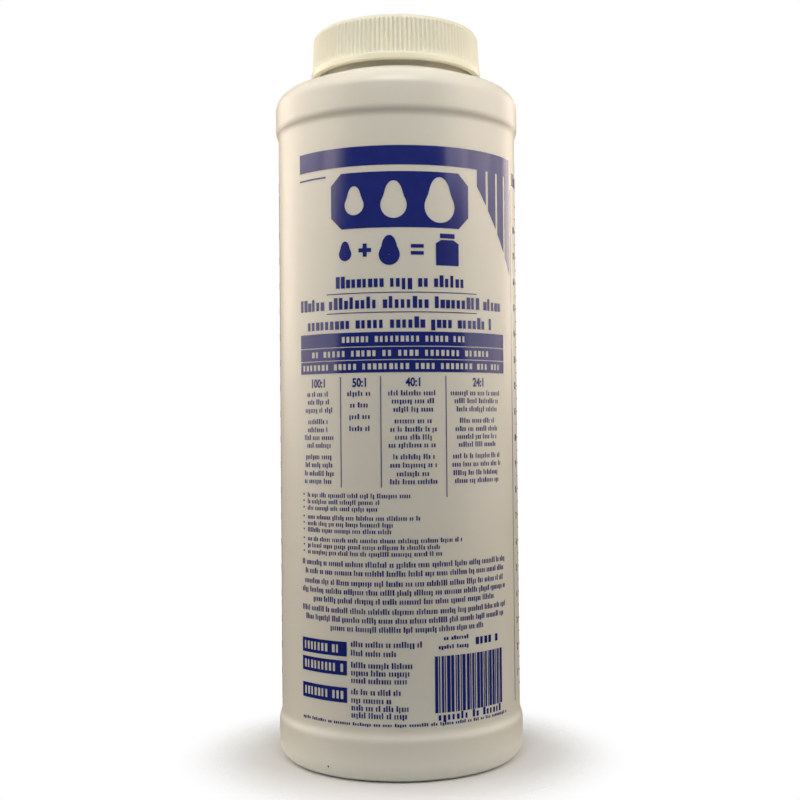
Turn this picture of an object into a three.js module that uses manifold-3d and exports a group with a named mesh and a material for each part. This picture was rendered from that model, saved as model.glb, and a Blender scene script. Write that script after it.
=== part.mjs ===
// Wide-mouth mixing bottle: a blow-moulded bottle, a ribbed screw cap and the cap's foam liner.
// Millimetres, +Z up. The origin is the centre of the ring that the bottle stands on.
import * as THREE from "three";
import Module from "manifold-3d";
import { mergeVertices } from "three/addons/utils/BufferGeometryUtils.js";

const wasm = await Module();
wasm.setup();

const quarterTurn = Math.PI / 2;

// Bottle body, from the base up
const bumperRadius = 40.0;
const bottleWall = 1.1;
const baseCornerRun = 4.5;
const baseCornerRise = 5.8;
const standingRingWidth = 4.0;
const pushUpHeight = 3.0;
const pushUpRampRun = 4.5;
const pushUpCrown = 0.5;
const lowerBumperHeight = 7.1;
const lowerLedgeHeight = 2.2;
const panelDepth = 0.85;
const panelHeight = 186.95;
const upperLedgeHeight = 1.95;
const upperBumperHeight = 7.05;
const shoulderCornerRun = 6.25;
const shoulderCornerRise = 5.85;
const shoulderSlopeDegrees = 20.2;

// Neck and its outside thread
const neckRadius = 24.8;
const neckWall = 2.05;
const lipChamfer = 0.5;
const threadPitch = 4.233;
const threadDepth = 1.05;
const threadRootWidth = 1.9;
const threadCrestWidth = 0.9;
const threadTurns = 1.25;
const threadBelowLip = 2.6;
const threadEndTaperDegrees = 40;
const threadEndDepth = 0.1;
const threadEmbed = 0.4;

// Cap
const capHeight = 14.65;
const capRimClearance = 2.5;
const capTopWall = 1.4;
const capSkirtWall = 2.0;
const capBoreNarrowing = 0.8;
const capBoreNarrowingRise = 1.6;
const capBandHeight = 2.1;
const capBandStep = 0.3;
const capDraft = 0.5;
const capCornerRun = 2.2;
const capCornerRise = 2.2;
const ribCount = 120;
const ribDepth = 0.5;
const ribRampHeight = 0.4;
const ribFadeDegrees = 36;

// Liner
const linerThickness = 1.0;

// Clearances between the pieces
const threadRadialClearance = 0.25;
const threadFlankClearance = 0.3;
const linerEdgeClearance = 0.3;
const seatClearance = 0.02;

// Fineness of the round surfaces
const bodyFacets = 64;
const cornerSteps = 4;
const weldTolerance = 1e-4;

// Heights and radii that follow from the sizes above
const panelRadius = bumperRadius - panelDepth;
const lowerBumperTop = baseCornerRise + lowerBumperHeight;
const panelBottom = lowerBumperTop + lowerLedgeHeight;
const panelTop = panelBottom + panelHeight;
const upperBumperBottom = panelTop + upperLedgeHeight;
const upperBumperTop = upperBumperBottom + upperBumperHeight;
const shoulderSlope = Math.tan(THREE.MathUtils.degToRad(shoulderSlopeDegrees));
const threadCrestRadius = neckRadius + threadDepth;
const capBoreRadius = threadCrestRadius + threadRadialClearance;
const capThreadCrestRadius = neckRadius + threadRadialClearance;
const capCeilingRadius = capBoreRadius - capBoreNarrowing;
const capBandRadius = capBoreRadius + capSkirtWall;
const capRim = shoulderHeightAt(capBandRadius) + capRimClearance;
const capTop = capRim + capHeight;
const capCeiling = capTop - capTopWall;
const linerTop = capCeiling - seatClearance;
const linerBottom = linerTop - linerThickness;
const lipTop = linerBottom - seatClearance;
const threadTop = lipTop - threadBelowLip;
const threadRise = threadTurns * threadPitch;
const threadBottom = threadTop - threadRise;
const threadFlankOffset = (threadRootWidth + threadCrestWidth) / 2 + threadFlankClearance;

// A run of points [radius, height] along an ellipse, both ends included
function ellipseArc(centre, run, rise, fromRadians, toRadians, steps = cornerSteps) {
  const points = [];
  for (let i = 0; i <= steps; i++) {
    const angle = fromRadians + ((toRadians - fromRadians) * i) / steps;
    points.push([centre[0] + run * Math.cos(angle), centre[1] + rise * Math.sin(angle)]);
  }
  return points;
}

// The shoulder corner, a quarter ellipse cut short where it is as steep as the slope above it
function shoulderCorner(inset) {
  const run = shoulderCornerRun - inset;
  const rise = shoulderCornerRise - inset;
  const centre = [bumperRadius - shoulderCornerRun, upperBumperTop];
  return ellipseArc(centre, run, rise, 0, Math.atan2(rise, run * shoulderSlope));
}

// Where the straight slope of the shoulder, carried on from its corner, meets a radius
function slopeHeightAt(radius, inset) {
  const [cornerRadius, cornerHeight] = shoulderCorner(inset).at(-1);
  return cornerHeight + (cornerRadius - radius) * shoulderSlope;
}

// The shoulder's outside height under the cap
function shoulderHeightAt(radius) {
  return slopeHeightAt(radius, 0);
}

// A closed body of revolution from a profile that starts and ends on the axis
function turned(profile) {
  return new THREE.LatheGeometry(profile.map(([r, z]) => new THREE.Vector2(r, z)), bodyFacets)
    .rotateX(quarterTurn);
}

// The merged, indexed form of a closed geometry
function welded(geometry) {
  const bare = geometry.clone();
  bare.deleteAttribute("normal");
  bare.deleteAttribute("uv");
  return mergeVertices(bare, weldTolerance);
}

function solidOf(geometry) {
  const shape = welded(geometry);
  return new wasm.Manifold(new wasm.Mesh({
    numProp: 3,
    vertProperties: new Float32Array(shape.attributes.position.array),
    triVerts: new Uint32Array(shape.index.array),
  }));
}

function geometryOf(solid) {
  const mesh = solid.getMesh();
  const geometry = new THREE.BufferGeometry();
  geometry.setAttribute("position", new THREE.BufferAttribute(mesh.vertProperties, 3));
  geometry.setIndex(new THREE.BufferAttribute(mesh.triVerts, 1));
  geometry.computeVertexNormals();
  return geometry;
}

// A right-hand thread: a trapezoid swept up a helix, sunk into its wall at both tapered ends
function threadSolid(wallRadius, crestRadius, bottom, rise, turns) {
  const outward = Math.sign(crestRadius - wallRadius);
  const footRadius = wallRadius - outward * threadEmbed;
  const endRadius = footRadius + outward * threadEndDepth;
  const steps = Math.ceil(turns * bodyFacets);
  const taper = THREE.MathUtils.degToRad(threadEndTaperDegrees);
  const sweep = turns * 2 * Math.PI;
  const corners = [];
  for (let i = 0; i <= steps; i++) {
    const angle = (sweep * i) / steps;
    const height = bottom + (rise * i) / steps;
    const fromEnd = Math.min(angle, sweep - angle, taper) / taper;
    const tip = endRadius + (crestRadius - endRadius) * fromEnd;
    const section = [
      [footRadius, -threadRootWidth / 2],
      [tip, -threadCrestWidth / 2],
      [tip, threadCrestWidth / 2],
      [footRadius, threadRootWidth / 2],
    ];
    for (const [radius, offset] of section) {
      corners.push(radius * Math.cos(angle), radius * Math.sin(angle), height + offset);
    }
  }
  const faces = [];
  const quad = (a, b, c, d) => faces.push(a, b, c, a, c, d);
  for (let i = 0; i < steps; i++) {
    for (let k = 0; k < 4; k++) {
      const next = (k + 1) % 4;
      quad(4 * i + k, 4 * i + next, 4 * (i + 1) + next, 4 * (i + 1) + k);
    }
  }
  quad(3, 2, 1, 0);
  quad(4 * steps, 4 * steps + 1, 4 * steps + 2, 4 * steps + 3);
  if (outward > 0) {
    faces.reverse();
  }
  return new wasm.Manifold(new wasm.Mesh({
    numProp: 3,
    vertProperties: new Float32Array(corners),
    triVerts: new Uint32Array(faces),
  }));
}

// The outside of the bottle up to its neck, or its inside with the wall as inset
function bodyProfile(inset) {
  const cornerRadius = bumperRadius - baseCornerRun;
  const rampTop = cornerRadius - standingRingWidth - pushUpRampRun;
  return [
    [0, pushUpHeight + inset],
    [rampTop, pushUpHeight - pushUpCrown + inset],
    [cornerRadius - standingRingWidth, inset],
    ...ellipseArc([cornerRadius, baseCornerRise], baseCornerRun - inset, baseCornerRise - inset,
      -quarterTurn, 0),
    [bumperRadius - inset, lowerBumperTop],
    [panelRadius - inset, panelBottom],
    [panelRadius - inset, panelTop],
    [bumperRadius - inset, upperBumperBottom],
    ...shoulderCorner(inset),
  ];
}

// The blow-moulded bottle: one wall from the push-up base to the lip, with the neck's thread
function bottleGeometry() {
  const boreRadius = neckRadius - neckWall;
  const outside = solidOf(turned([
    ...bodyProfile(0),
    [neckRadius, slopeHeightAt(neckRadius, 0)],
    [neckRadius, lipTop - lipChamfer],
    [neckRadius - lipChamfer, lipTop],
    [0, lipTop],
  ]));
  const above = lipTop + lipChamfer;
  const inside = solidOf(turned([
    ...bodyProfile(bottleWall),
    [boreRadius, slopeHeightAt(boreRadius, bottleWall)],
    [boreRadius, lipTop - lipChamfer],
    [boreRadius + 2 * lipChamfer, above],
    [0, above],
  ]));
  const thread = threadSolid(neckRadius, threadCrestRadius, threadBottom, threadRise, threadTurns);
  return geometryOf(outside.add(thread).subtract(inside));
}

// The cap's outside as a closed body: plain band, step, ribs, and ribs that fade on the top corner
function capSkinGeometry() {
  const sides = 2 * ribCount;
  const bandTop = capRim + capBandHeight;
  const cornerBottom = capTop - capCornerRise;
  const ribFootRadius = capBandRadius - capBandStep;
  const ribHeadRadius = ribFootRadius - capDraft;
  const ribFade = THREE.MathUtils.degToRad(ribFadeDegrees);
  const corner = ellipseArc([ribHeadRadius - capCornerRun, cornerBottom], capCornerRun, capCornerRise,
    0, quarterTurn);
  const rings = [
    { radius: capBandRadius, height: capRim, depth: 0 },
    { radius: capBandRadius, height: bandTop, depth: 0 },
    { radius: ribFootRadius, height: bandTop, depth: 0 },
    { radius: ribFootRadius, height: bandTop + ribRampHeight, depth: ribDepth },
    ...corner.map(([radius, height], i) => ({
      radius,
      height,
      depth: ribDepth * Math.max(0, 1 - (i * quarterTurn) / cornerSteps / ribFade),
    })),
  ];
  const corners = [0, 0, capRim];
  for (const { radius, height, depth } of rings) {
    for (let i = 0; i < sides; i++) {
      const angle = (i * Math.PI) / ribCount;
      const reach = radius - (i % 2) * depth;
      corners.push(reach * Math.cos(angle), reach * Math.sin(angle), height);
    }
  }
  corners.push(0, 0, capTop);
  const faces = [];
  const at = (ring, side) => 1 + ring * sides + (side % sides);
  const last = corners.length / 3 - 1;
  for (let i = 0; i < sides; i++) {
    faces.push(0, at(0, i + 1), at(0, i));
    faces.push(last, at(rings.length - 1, i), at(rings.length - 1, i + 1));
    for (let ring = 0; ring + 1 < rings.length; ring++) {
      faces.push(at(ring, i), at(ring, i + 1), at(ring + 1, i + 1));
      faces.push(at(ring, i), at(ring + 1, i + 1), at(ring + 1, i));
    }
  }
  const geometry = new THREE.BufferGeometry();
  geometry.setAttribute("position", new THREE.Float32BufferAttribute(corners, 3));
  geometry.setIndex(faces);
  return geometry;
}

// The moulded cap: skin less its bore, with a thread that lies just under the neck's thread
function capGeometry() {
  const below = capRim - capSkirtWall;
  const bore = solidOf(turned([
    [0, below],
    [capBoreRadius, below],
    [capBoreRadius, capCeiling - capBoreNarrowingRise],
    [capCeilingRadius, capCeiling],
    [0, capCeiling],
  ]));
  const thread = threadSolid(capBoreRadius, capThreadCrestRadius, threadBottom - threadFlankOffset,
    threadRise, threadTurns);
  return geometryOf(solidOf(capSkinGeometry()).subtract(bore).add(thread));
}

// The foam disc that seals between the cap and the bottle's lip
function linerGeometry() {
  const radius = capCeilingRadius - linerEdgeClearance;
  return turned([
    [0, linerBottom],
    [radius, linerBottom],
    [radius, linerTop],
    [0, linerTop],
  ]);
}

function piece(name, geometry, color, roughness) {
  const mesh = new THREE.Mesh(geometry, new THREE.MeshStandardMaterial({
    color,
    roughness,
    metalness: 0,
  }));
  mesh.name = name;
  return mesh;
}

const bottle = new THREE.Group();
bottle.add(piece("bottle", bottleGeometry(), 0xd9d2c6, 0.42));
bottle.add(piece("cap", capGeometry(), 0xf0e9dc, 0.36));
bottle.add(piece("cap_liner", linerGeometry(), 0xf4f2ec, 0.8));

export default bottle;
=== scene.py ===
"""A wide-mouth mixing bottle with a ribbed screw cap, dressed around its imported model.

Sizes of the bottle, its cap and its print are millimetres. Angles round the bottle are degrees:
0 faces the camera and positive is to its right. Blender's own lengths are metres.
"""
import math
import random

import bmesh
import bpy
from mathutils import Matrix, Vector


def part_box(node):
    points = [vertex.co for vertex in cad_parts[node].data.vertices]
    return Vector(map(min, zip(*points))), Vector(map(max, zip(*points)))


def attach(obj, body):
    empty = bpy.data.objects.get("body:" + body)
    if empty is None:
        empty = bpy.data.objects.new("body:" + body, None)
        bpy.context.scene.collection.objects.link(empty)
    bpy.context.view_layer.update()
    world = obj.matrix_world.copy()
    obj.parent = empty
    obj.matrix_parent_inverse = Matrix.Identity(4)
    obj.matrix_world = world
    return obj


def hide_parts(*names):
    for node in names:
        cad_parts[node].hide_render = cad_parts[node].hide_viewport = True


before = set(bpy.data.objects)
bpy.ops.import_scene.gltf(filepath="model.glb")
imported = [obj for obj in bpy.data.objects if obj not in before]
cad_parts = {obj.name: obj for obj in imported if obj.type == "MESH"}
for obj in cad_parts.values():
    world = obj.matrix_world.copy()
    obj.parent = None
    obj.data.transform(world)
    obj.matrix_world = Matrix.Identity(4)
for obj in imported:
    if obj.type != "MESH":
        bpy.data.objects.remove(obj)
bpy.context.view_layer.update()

MM = 0.001
_, bottle_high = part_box("bottle")
cap_low, cap_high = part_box("cap")
liner_low, liner_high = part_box("cap_liner")

# Bottle profile, the same sizes as the solid's
BUMPER_R = bottle_high.x / MM
LIP_Z = bottle_high.z / MM
WALL_MM = 1.1
CORNER_RUN_MM = 4.5
CORNER_RISE_MM = 5.8
STANDING_RING_MM = 4.0
PUSH_UP_MM = 3.0
PUSH_UP_RAMP_MM = 4.5
PUSH_UP_CROWN_MM = 0.5
PUSH_UP_CROWN_R = 12
PUSH_UP_CROWN_SHARE = 0.1
PUSH_UP_ROUNDING_MM = 0.8
LOWER_BUMPER_MM = 7.1
LOWER_LEDGE_MM = 2.2
PANEL_DEPTH_MM = 0.85
PANEL_HEIGHT_MM = 186.95
UPPER_LEDGE_MM = 1.95
UPPER_BUMPER_MM = 7.05
LEDGE_ROUNDING_MM = 4.8
ABOVE_CORNER_MM = 1.5
BELOW_SHOULDER_MM = 1.0
SHOULDER_RUN_MM = 6.25
SHOULDER_RISE_MM = 5.85
SHOULDER_SLOPE_DEG = 20.2

SHOULDER_SLOPE = math.tan(math.radians(SHOULDER_SLOPE_DEG))
LOWER_BUMPER_TOP = CORNER_RISE_MM + LOWER_BUMPER_MM
PANEL_BOTTOM = LOWER_BUMPER_TOP + LOWER_LEDGE_MM
PANEL_TOP = PANEL_BOTTOM + PANEL_HEIGHT_MM
UPPER_BUMPER_BOTTOM = PANEL_TOP + UPPER_LEDGE_MM
UPPER_BUMPER_TOP = UPPER_BUMPER_BOTTOM + UPPER_BUMPER_MM
PANEL_R = BUMPER_R - PANEL_DEPTH_MM

# Neck and thread
NECK_R = 24.8
NECK_WALL_MM = 2.05
NECK_BORE_R = NECK_R - NECK_WALL_MM
NECK_FOOT_REACH_MM = 6
NECK_FOOT_ROUNDING_MM = 1.2
NECK_START_MM = 0.2
LIP_ROUNDING_MM = 0.45
THREAD_PITCH_MM = 4.233
THREAD_DEPTH_MM = 1.05
THREAD_ROOT_MM = 1.9
THREAD_CREST_MM = 0.9
THREAD_TURNS = 1.25
THREAD_BELOW_LIP_MM = 2.6
THREAD_BOTTOM = LIP_Z - THREAD_BELOW_LIP_MM - THREAD_TURNS * THREAD_PITCH_MM
THREAD_CLEARANCE_MM = 0.25
FLANK_CLEARANCE_MM = 0.3
THREAD_TAPER_DEG = 40

# Cap, from its flat top down the ribs and the plain band, and up inside to the ceiling
CAP_RIM = cap_low.z / MM
CAP_TOP = cap_high.z / MM
CAP_BAND_R = cap_high.x / MM
CAP_BAND_MM = 2.1
CAP_BAND_TOP = CAP_RIM + CAP_BAND_MM
CAP_BAND_STEP_MM = 0.3
CAP_BAND_ROUNDING_MM = 0.22
CAP_BAND_MIDDLE_MM = 0.9
CAP_RIM_ROUNDING_MM = 0.35
CAP_FOOT_R = CAP_BAND_R - CAP_BAND_STEP_MM
CAP_DRAFT_MM = 0.5
CAP_HEAD_R = CAP_FOOT_R - CAP_DRAFT_MM
CAP_CORNER_RUN_MM = 2.2
CAP_CORNER_RISE_MM = 2.2
CAP_CORNER_R = CAP_HEAD_R - CAP_CORNER_RUN_MM
CAP_CORNER_Z = CAP_TOP - CAP_CORNER_RISE_MM
CAP_FLAT_R = 10
CAP_FLAT_EDGE_MM = 2
CAP_ROOF_MM = 1.4
CAP_CEILING = CAP_TOP - CAP_ROOF_MM
CAP_BORE_R = NECK_R + THREAD_DEPTH_MM + THREAD_CLEARANCE_MM
CAP_BORE_ROUNDING_MM = 0.3
CAP_BORE_START_MM = 0.8
CAP_BORE_NARROWING_MM = 0.8
CAP_BORE_NARROWING_RISE_MM = 1.6

# Liner: how far its lower edge runs in and rises, and its upper edge
LINER_EDGE_RUN_MM = 0.6
LINER_EDGE_RISE_MM = 0.2
LINER_UPPER_EDGE_MM = 0.1

# Ribs of the cap
RIB_COUNT = 120
RIB_DEPTH_MM = 0.5
RIB_SHARPNESS = 1.25
RIB_RAMP_MM = 0.5
RIB_FOOT_MM = 0.25
RIB_FOOT_DEPTH = 0.45
RIB_END_OUT_MM = 0.02
RIB_END_UP_MM = 0.04
RIB_FADE_START_DEG = 3
RIB_FADE_END_DEG = 36

# Mould seams up the two sides, in radians from the front
SEAMS = (math.pi / 2, 3 * math.pi / 2)
SEAM_WIDTH_MM = 0.35
SEAM_HEIGHT_MM = 0.05
SEAM_SIDES = (-2, -1, -0.5, 0.5, 1, 2)

# Fineness
BODY_SIDES = 288
SIDES_PER_RIB = 8
LINER_SIDES = 128
DROP_SIDES = 72
CAP_CORNER_STEPS = 18
RIB_ROW_MM = 1.6
THREAD_ROW_MM = 0.22
CAP_THREAD_ROW_MM = 0.34
INK_STEP_DEG = 1.4
SHARP_DEG = 38
INK_SHARP_DEG = 30

# Ink films and blocks of print
INK_R = PANEL_R
INK_DEPTH_MM = 0.08
INK_FOOT_R = PANEL_R - INK_DEPTH_MM
DEG_PER_MM = math.degrees(1 / PANEL_R)
HUB_SHARE = 0.02
DROP_POINT = 0.85
DROP_SHARPNESS = 7
BLOCKS_IN_GROUP = (2, 9)
BLOCK_WIDTHS = (0.8, 1.15)
GROUP_GAP = 0.8
TALL_BELOW = 0.27
TALL_RISE = 1.38
HANGING_ABOVE = 0.93
HANGING_FALL = 0.3
BARE_SHARE = 0.62
LABEL_LEFT = -50.8
LABEL_RIGHT = 58.0


def ellipse_arc(centre, run, rise, start, end, steps=14):
    """Points (radius, height) along an ellipse from one angle to another, in radians."""
    points = []
    for i in range(steps + 1):
        a = start + (end - start) * i / steps
        points.append((centre[0] + run * math.cos(a), centre[1] + rise * math.sin(a)))
    return points


def arc(centre, radius, start, end, steps=4):
    return ellipse_arc(centre, radius, radius, start, end, steps)


def rounded(before, corner, after, radius, steps=5):
    """The arc of that radius that takes the place of a profile's corner."""
    corner = Vector(corner)
    to_before = (Vector(before) - corner).normalized()
    to_after = (Vector(after) - corner).normalized()
    half = to_before.angle(to_after) / 2
    reach = radius / math.tan(half)
    centre = corner + (to_before + to_after).normalized() * radius / math.sin(half)
    first = corner + to_before * reach - centre
    last = corner + to_after * reach - centre
    points = []
    for i in range(steps + 1):
        spoke = first.lerp(last, i / steps).normalized()
        points.append(tuple(centre + spoke * radius))
    return points


def rounded_profile(points, radius):
    """The profile with each inner corner rounded."""
    out = [points[0]]
    for before, corner, after in zip(points, points[1:], points[2:]):
        out += rounded(before, corner, after, radius)
    return out + [points[-1]]


def shoulder_corner(inset):
    run = SHOULDER_RUN_MM - inset
    rise = SHOULDER_RISE_MM - inset
    centre = (BUMPER_R - SHOULDER_RUN_MM, UPPER_BUMPER_TOP)
    return ellipse_arc(centre, run, rise, 0, math.atan2(rise, run * SHOULDER_SLOPE))


def slope_height(radius, inset):
    corner_r, corner_z = shoulder_corner(inset)[-1]
    return corner_z + (corner_r - radius) * SHOULDER_SLOPE


def body_profile(inset):
    """The outside of the body, or with the wall as inset its inside, from the axis to the shoulder."""
    corner_r = BUMPER_R - CORNER_RUN_MM
    ring_r = corner_r - STANDING_RING_MM
    ramp_r = ring_r - PUSH_UP_RAMP_MM
    push_up = [
        (0, PUSH_UP_MM + inset),
        (PUSH_UP_CROWN_R, PUSH_UP_MM - PUSH_UP_CROWN_SHARE * PUSH_UP_CROWN_MM + inset),
        (ramp_r, PUSH_UP_MM - PUSH_UP_CROWN_MM + inset),
        (ring_r, inset),
        (corner_r, inset),
    ]
    ledges = [
        (BUMPER_R - inset, CORNER_RISE_MM + ABOVE_CORNER_MM),
        (BUMPER_R - inset, LOWER_BUMPER_TOP),
        (PANEL_R - inset, PANEL_BOTTOM),
        (PANEL_R - inset, PANEL_TOP),
        (BUMPER_R - inset, UPPER_BUMPER_BOTTOM),
        (BUMPER_R - inset, UPPER_BUMPER_TOP - BELOW_SHOULDER_MM),
    ]
    foot = rounded_profile(push_up, PUSH_UP_ROUNDING_MM)[:-1]
    corner = ellipse_arc((corner_r, CORNER_RISE_MM), CORNER_RUN_MM - inset, CORNER_RISE_MM - inset,
                         -math.pi / 2, 0)
    return foot + corner + rounded_profile(ledges, LEDGE_ROUNDING_MM) + shoulder_corner(inset)


def thread_reach(angle, z, bottom):
    """How far a thread stands out at an angle in radians and a height: 0 to 1 times its depth.
    It starts at the right of the bottle, on +X, and rises anticlockwise seen from above."""
    sweep = THREAD_TURNS * 2 * math.pi
    best = 0.0
    for lap in range(math.ceil(THREAD_TURNS)):
        along = (angle - math.pi / 2) % (2 * math.pi) + lap * 2 * math.pi
        if along > sweep:
            continue
        off = abs(z - bottom - along / (2 * math.pi) * THREAD_PITCH_MM)
        flank = (THREAD_ROOT_MM / 2 - off) / ((THREAD_ROOT_MM - THREAD_CREST_MM) / 2)
        taper = min(along, sweep - along) / math.radians(THREAD_TAPER_DEG)
        best = max(best, min(1.0, max(0.0, flank)) * min(1.0, taper))
    return best


def levels(low, high, step):
    count = math.ceil((high - low) / step)
    return [low + (high - low) * i / count for i in range(count + 1)]


def plain(points):
    """Rows of a mesh of revolution that are round."""
    return [(radius, z, None) for radius, z in points]


def revolved(name, rows, angles):
    """A closed mesh of revolution. A row is (radius, height, shape), and shape gives the radius there
    from the angle, or is None. The first and last rows are on the axis."""
    vertices = [Vector((0, 0, rows[0][1] * MM))]
    for radius, z, shape in rows[1:-1]:
        for a in angles:
            r = shape(a, radius, z) if shape else radius
            vertices.append(Vector((r * math.sin(a), -r * math.cos(a), z)) * MM)
    vertices.append(Vector((0, 0, rows[-1][1] * MM)))
    sides = len(angles)
    faces = []
    for i in range(sides):
        j = (i + 1) % sides
        faces.append((0, 1 + j, 1 + i))
        for row in range(len(rows) - 3):
            low = 1 + row * sides
            high = low + sides
            faces.append((low + i, low + j, high + j, high + i))
        last = 1 + (len(rows) - 3) * sides
        faces.append((last + i, last + j, len(vertices) - 1))
    return new_mesh(name, vertices, faces, SHARP_DEG)


def new_object(name, data):
    obj = bpy.data.objects.new(name, data)
    bpy.context.scene.collection.objects.link(obj)
    return obj


def new_mesh(name, vertices, faces, sharp_deg):
    mesh = bpy.data.meshes.new(name)
    mesh.from_pydata([tuple(v) for v in vertices], [], faces)
    mesh.validate()
    for polygon in mesh.polygons:
        polygon.use_smooth = True
    mesh.set_sharp_from_angle(angle=math.radians(sharp_deg))
    return new_object(name, mesh)


def even_angles(count):
    return [2 * math.pi * i / count for i in range(count)]


def bottle_angles():
    """Even angles, with extra ones across the mould seams."""
    extra = [seam + k * SEAM_WIDTH_MM / BUMPER_R for seam in SEAMS for k in SEAM_SIDES]
    return sorted(even_angles(BODY_SIDES) + extra)


def seam_shape(angle, radius, z):
    """The mould seam: a fine raised line up each side."""
    nearest = min(abs(angle - seam) for seam in SEAMS) * radius
    return radius - SEAM_HEIGHT_MM * (1 - math.exp(-((nearest / SEAM_WIDTH_MM) ** 2)))


def neck_shape(angle, radius, z):
    return radius + THREAD_DEPTH_MM * thread_reach(angle, z, THREAD_BOTTOM)


def neck_foot():
    """The rounded corner between the shoulder's slope and the neck."""
    slope_r = NECK_R + NECK_FOOT_REACH_MM
    z = slope_height(NECK_R, 0)
    return rounded((slope_r, slope_height(slope_r, 0)), (NECK_R, z), (NECK_R, z + NECK_FOOT_REACH_MM),
                   NECK_FOOT_ROUNDING_MM)


def lip():
    """The lip's outer and inner edge."""
    z = LIP_Z - LIP_ROUNDING_MM
    outer = arc((NECK_R - LIP_ROUNDING_MM, z), LIP_ROUNDING_MM, 0, math.pi / 2)
    inner = arc((NECK_BORE_R + LIP_ROUNDING_MM, z), LIP_ROUNDING_MM, math.pi / 2, math.pi)
    return outer + inner


def make_bottle():
    outside = body_profile(0)
    foot = neck_foot()
    neck = levels(foot[-1][1] + NECK_START_MM, LIP_Z - 2 * LIP_ROUNDING_MM, THREAD_ROW_MM)
    inside = body_profile(WALL_MM) + [(NECK_BORE_R, slope_height(NECK_BORE_R, WALL_MM))]
    rows = plain(outside[:1]) + [(r, z, seam_shape) for r, z in outside[1:]] + plain(foot)
    rows += [(NECK_R, z, neck_shape) for z in neck]
    rows += plain(lip() + inside[::-1])
    obj = revolved("bottle_shell", rows, bottle_angles())
    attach(obj, "bottle")
    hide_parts("bottle")
    return obj


def rib_wave(angle):
    """0 on a rib's rounded crest and 1 in the wide groove beside it."""
    return 1 - (0.5 + 0.5 * math.cos(RIB_COUNT * angle)) ** RIB_SHARPNESS


def ribs(depth):
    """The shape of a row on the cap's side where the ribs are that deep."""
    return lambda angle, radius, z: radius - depth * rib_wave(angle)


def cap_top_rows():
    """The flat top and its rounded edge, in which the ribs begin."""
    rows = plain([(0, CAP_TOP), (CAP_FLAT_R, CAP_TOP), (CAP_CORNER_R - CAP_FLAT_EDGE_MM, CAP_TOP)])
    for i in range(CAP_CORNER_STEPS, -1, -1):
        share = i / CAP_CORNER_STEPS
        a = share * math.pi / 2
        fade = (share * 90 - RIB_FADE_START_DEG) / (RIB_FADE_END_DEG - RIB_FADE_START_DEG)
        depth = RIB_DEPTH_MM * (1 - min(1, max(0, fade)))
        rows.append((CAP_CORNER_R + CAP_CORNER_RUN_MM * math.cos(a),
                     CAP_CORNER_Z + CAP_CORNER_RISE_MM * math.sin(a), ribs(depth)))
    return rows


def cap_side_rows():
    """Down the ribbed side, which widens by its draft, to the ribs' lower ends on the band."""
    rows = []
    for z in reversed(levels(CAP_BAND_TOP + RIB_RAMP_MM, CAP_CORNER_Z, RIB_ROW_MM)[:-1]):
        share = (z - CAP_BAND_TOP) / (CAP_CORNER_Z - CAP_BAND_TOP)
        rows.append((CAP_FOOT_R + (CAP_HEAD_R - CAP_FOOT_R) * share, z, ribs(RIB_DEPTH_MM)))
    rows.append((CAP_FOOT_R, CAP_BAND_TOP + RIB_FOOT_MM, ribs(RIB_FOOT_DEPTH * RIB_DEPTH_MM)))
    rows.append((CAP_FOOT_R + RIB_END_OUT_MM, CAP_BAND_TOP + RIB_END_UP_MM, None))
    return rows


def cap_band_rows():
    """Down the plain band, under the rim and round into the bore."""
    band = CAP_BAND_ROUNDING_MM
    rim = CAP_RIM_ROUNDING_MM
    bore = CAP_BORE_ROUNDING_MM
    top_edge = arc((CAP_BAND_R - band, CAP_BAND_TOP - band), band, 0, math.pi / 2)
    outer_edge = arc((CAP_BAND_R - rim, CAP_RIM + rim), rim, 0, -math.pi / 2)
    inner_edge = arc((CAP_BORE_R + bore, CAP_RIM + bore), bore, -math.pi / 2, -math.pi, 3)
    return plain(top_edge[::-1] + [(CAP_BAND_R, CAP_RIM + CAP_BAND_MIDDLE_MM)] + outer_edge + inner_edge)


def cap_inside_rows():
    """Up the threaded bore to the ceiling, and in to the axis."""
    bottom = THREAD_BOTTOM - (THREAD_ROOT_MM + THREAD_CREST_MM) / 2 - FLANK_CLEARANCE_MM
    depth = CAP_BORE_R - NECK_R - THREAD_CLEARANCE_MM

    def inner_thread(angle, radius, z):
        return radius - depth * thread_reach(angle, z, bottom)

    narrow_z = CAP_CEILING - CAP_BORE_NARROWING_RISE_MM
    bore = levels(CAP_RIM + CAP_BORE_START_MM, narrow_z, CAP_THREAD_ROW_MM)
    ceiling = [(CAP_BORE_R - CAP_BORE_NARROWING_MM, CAP_CEILING), (CAP_FLAT_R, CAP_CEILING),
               (0, CAP_CEILING)]
    return [(CAP_BORE_R, z, inner_thread) for z in bore] + plain(ceiling)


def make_cap():
    rows = cap_top_rows() + cap_side_rows() + cap_band_rows() + cap_inside_rows()
    obj = revolved("screw_cap", rows[::-1], even_angles(RIB_COUNT * SIDES_PER_RIB))
    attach(obj, "cap")
    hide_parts("cap")
    return obj


def make_liner():
    radius = liner_high.x / MM
    low = liner_low.z / MM
    high = liner_high.z / MM
    profile = [(0, low), (radius - LINER_EDGE_RUN_MM, low), (radius, low + LINER_EDGE_RISE_MM),
               (radius, high - LINER_UPPER_EDGE_MM), (radius - LINER_UPPER_EDGE_MM, high), (0, high)]
    obj = revolved("liner_disc", plain(profile), even_angles(LINER_SIDES))
    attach(obj, "liner")
    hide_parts("cap_liner")
    return obj


def on_panel(angle_deg, z, radius):
    """A point in metres at an angle and a height of the panel."""
    a = math.radians(angle_deg)
    return Vector((radius * math.sin(a), -radius * math.cos(a), z)) * MM


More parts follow.
